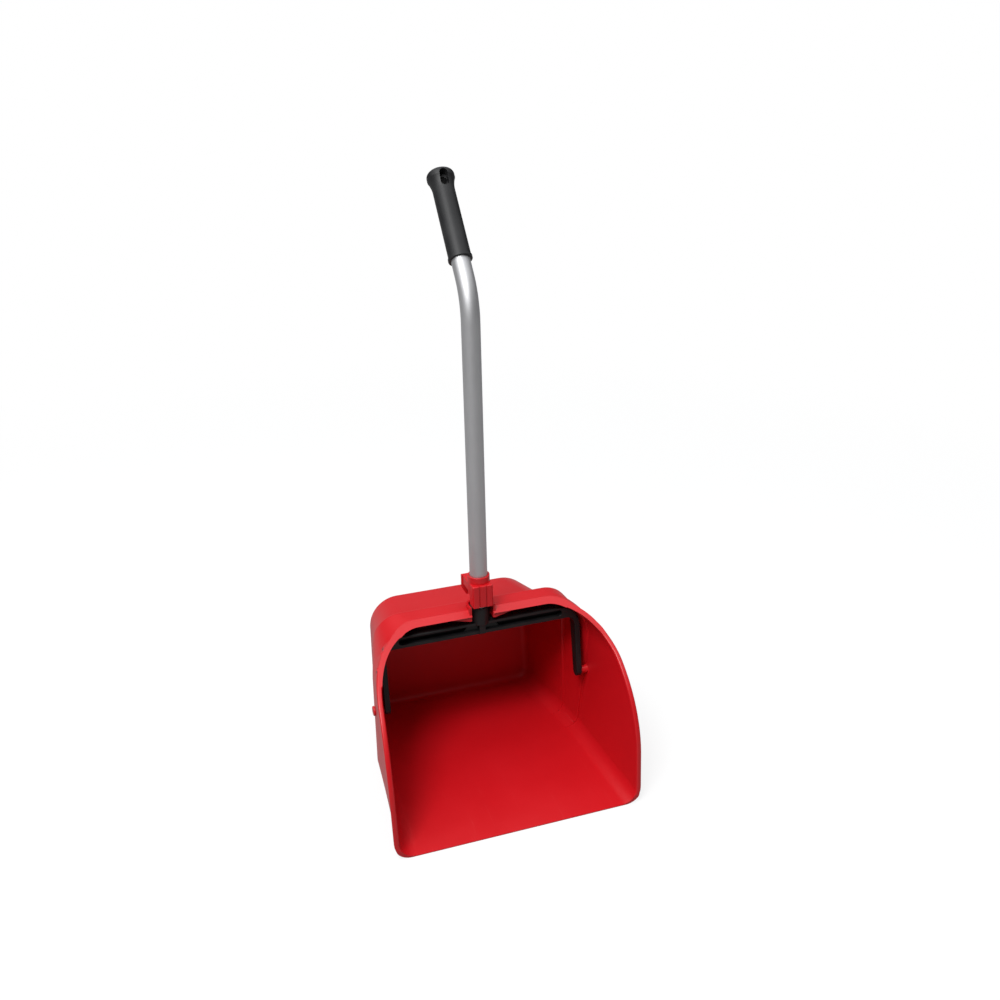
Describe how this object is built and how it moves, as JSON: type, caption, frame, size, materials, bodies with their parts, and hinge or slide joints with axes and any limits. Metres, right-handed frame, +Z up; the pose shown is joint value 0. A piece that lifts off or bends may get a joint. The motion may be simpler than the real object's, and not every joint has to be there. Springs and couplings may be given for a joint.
{
  "type": "hooded dustpan",
  "caption": "Large hooded dustpan with a rear bin, a tilting yoke on a bent upright tube, a flared grip and a sliding lock that holds the handle upright.",
  "frame": {"origin": "centre of the bounding box's base, on the ground", "axes": "+Z up, -Y towards the mouth, X along the pivot axis across the pan"},
  "size_m": [0.3588, 0.356, 0.8335],
  "materials": {
    "pan_red": "glossy moulded polypropylene",
    "yoke_black": "satin moulded nylon",
    "tube_aluminium": "satin anodised",
    "grip_black": "matt moulded",
    "slider_red": "glossy moulded",
    "pin_red": "glossy moulded",
    "pin_steel": "plain"
  },
  "bodies": {
    "pan": {"pan_body": "pan_red"},
    "handle": {"yoke": "yoke_black", "handle_tube": "tube_aluminium", "grip": "grip_black", "pivot_pin_left": "pin_red", "pivot_pin_right": "pin_red", "socket_pin": "pin_steel"},
    "lock": {"lock_slider": "slider_red"}
  },
  "joints": [
    {"name": "handle_tilt", "type": "hinge", "parent": "pan", "child": "handle", "pos_m": [0, -0.013, 0.123], "axis": [1, 0, 0], "range_deg": [0, 85]},
    {"name": "lock_slide", "type": "slide", "parent": "handle", "child": "lock", "axis": [0, 0.0529, 0.9986], "range_m": [-0.013, 0]}
  ]
}
